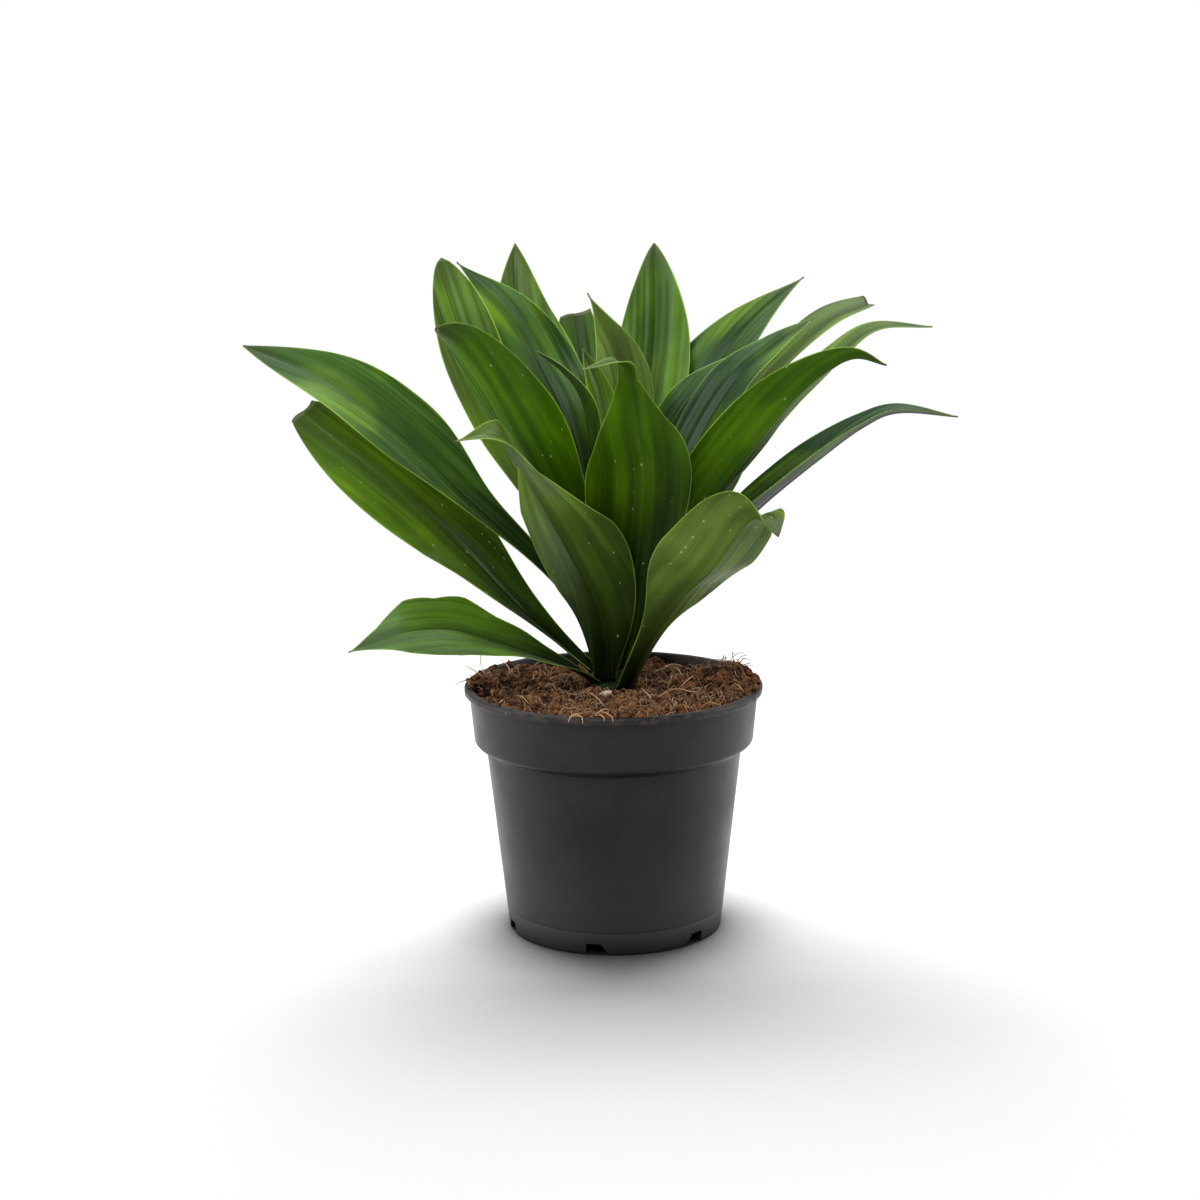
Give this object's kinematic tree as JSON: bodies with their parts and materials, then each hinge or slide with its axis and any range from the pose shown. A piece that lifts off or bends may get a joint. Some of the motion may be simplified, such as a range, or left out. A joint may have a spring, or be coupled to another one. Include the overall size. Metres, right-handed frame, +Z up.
{
  "type": "potted dracaena",
  "caption": "Compact potted dracaena: broad glossy leaves around a short cane, in soil in a round tapered nursery pot with a collar and drainage notches.",
  "frame": {"origin": "centre of the pot's flat underside", "axes": "+Z up along the pot's axis, -Y towards the viewer of the picture, +X to the viewer's right"},
  "size_m": [0.2823, 0.1965, 0.2713],
  "materials": {
    "pot_plastic": "matte",
    "soil_brown": "matte",
    "stem_green": "satin",
    "leaf_green": "glossy upper side"
  },
  "bodies": {
    "root": {"pot": "pot_plastic", "soil": "soil_brown", "stem": "stem_green", "leaf_left_droop": "leaf_green", "leaf_front_right": "leaf_green", "leaf_rear_low": "leaf_green", "leaf_left_low": "leaf_green", "leaf_front_left": "leaf_green", "leaf_right_low": "leaf_green", "leaf_rear_low_left": "leaf_green", "leaf_front": "leaf_green", "leaf_rear_low_right": "leaf_green", "leaf_left_high": "leaf_green", "leaf_right_mid": "leaf_green", "leaf_mid_left": "leaf_green", "leaf_back_left_tall": "leaf_green", "leaf_right_thin": "leaf_green", "leaf_rear_mid": "leaf_green", "leaf_right_cut": "leaf_green", "leaf_back_cut": "leaf_green", "leaf_right_inner_dark": "leaf_green", "leaf_back_left": "leaf_green", "leaf_back_right": "leaf_green", "leaf_left_inner_dark": "leaf_green", "leaf_back_tall": "leaf_green", "leaf_right_inner_light": "leaf_green", "leaf_left_inner_small": "leaf_green", "leaf_centre_dark": "leaf_green", "leaf_centre_small": "leaf_green"}
  },
  "joints": []
}
